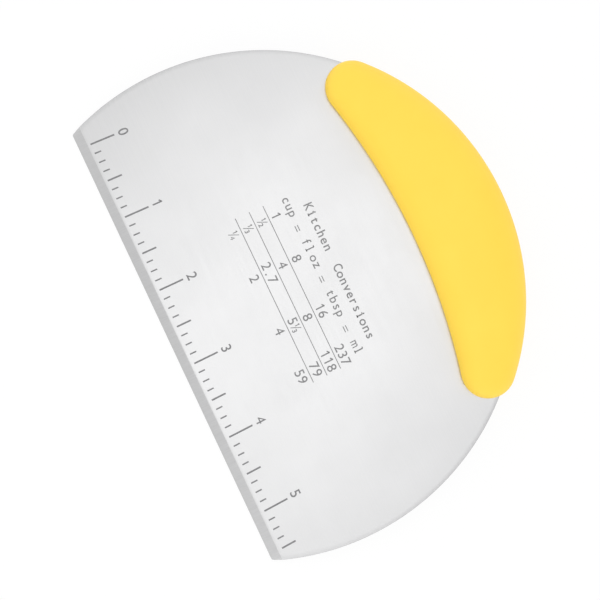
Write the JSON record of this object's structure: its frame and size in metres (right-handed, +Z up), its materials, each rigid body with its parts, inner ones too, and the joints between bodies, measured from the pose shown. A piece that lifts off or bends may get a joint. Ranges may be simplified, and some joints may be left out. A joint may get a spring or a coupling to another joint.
{
  "type": "dough scraper",
  "caption": "D-shaped stainless steel dough scraper with a ground straight edge, an etched inch scale and a soft grip moulded over its curved back, for cutting and lifting dough.",
  "frame": {"origin": "on the surface that the tool lies on, under the centre of its bounding box", "axes": "+X along the straight edge, in the reading direction of its scale; +Y from the straight edge towards the grip; +Z up, out of the marked face, which leans 4.1 degrees because the tool rests on its straight edge and on the grip"},
  "size_m": [0.1632, 0.1198, 0.0156],
  "materials": {
    "blade_steel": "satin, fine grain along the straight edge",
    "core_plastic": "plain moulded, hidden",
    "grip_rubber": "satin, very fine moulded texture"
  },
  "bodies": {
    "root": {"blade": "blade_steel", "handle_core": "core_plastic", "soft_grip": "grip_rubber"}
  },
  "joints": []
}
